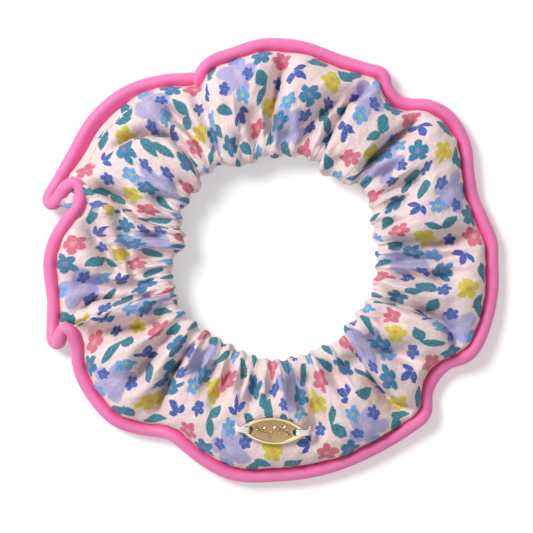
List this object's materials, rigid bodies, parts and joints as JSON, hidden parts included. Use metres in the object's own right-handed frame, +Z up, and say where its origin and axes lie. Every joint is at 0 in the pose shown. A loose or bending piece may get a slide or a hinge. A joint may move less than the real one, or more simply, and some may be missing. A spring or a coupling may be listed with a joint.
{
  "type": "scrunchie",
  "caption": "Gathered cotton scrunchie with a floral print, a piped outer edge, hidden elastic and a small almond-shaped metal tag; it draws open to take hair.",
  "frame": {"origin": "centre of the hair opening, on the surface that the scrunchie lies on", "axes": "+Z up out of the hair opening, +Y away from the tag, along the direction in which the ring is drawn open, +X to the right"},
  "size_m": [0.1182, 0.1152, 0.0136],
  "materials": {
    "printed_cotton": "matte plain-weave cotton with a small floral print",
    "piping_fabric": "soft satin stretch fabric, pink",
    "piping_filler": "twisted cotton cord",
    "elastic": "braided flat elastic",
    "thread": "white sewing thread",
    "tag_metal": "pale gold plate, sanded ground and polished rim"
  },
  "bodies": {
    "near_half": {"sleeve_near": "printed_cotton", "piping_cover_near": "piping_fabric", "piping_cord_near": "piping_filler", "elastic_near": "elastic", "seam_thread_near": "thread", "tag_thread_left": "thread", "tag_thread_right": "thread"},
    "far_half": {"sleeve_far": "printed_cotton", "piping_cover_far": "piping_fabric", "piping_cord_far": "piping_filler", "elastic_far": "elastic", "seam_thread_far": "thread", "closing_stitches": "thread", "end_seam_stitches": "thread", "elastic_join_tack": "thread"},
    "tag": {"tag_plate": "tag_metal"}
  },
  "joints": [
    {"name": "stretch", "type": "slide", "parent": "near_half", "child": "far_half", "axis": [0, 1, 0], "range_m": [0, 0.06], "stiffness_N_per_m": 40},
    {"name": "tag_rock", "type": "hinge", "parent": "near_half", "child": "tag", "pos_m": [0.00076, -0.04339, 0.01229], "axis": [0.9986, -0.0523, 0], "range_deg": [-8, 8]}
  ]
}
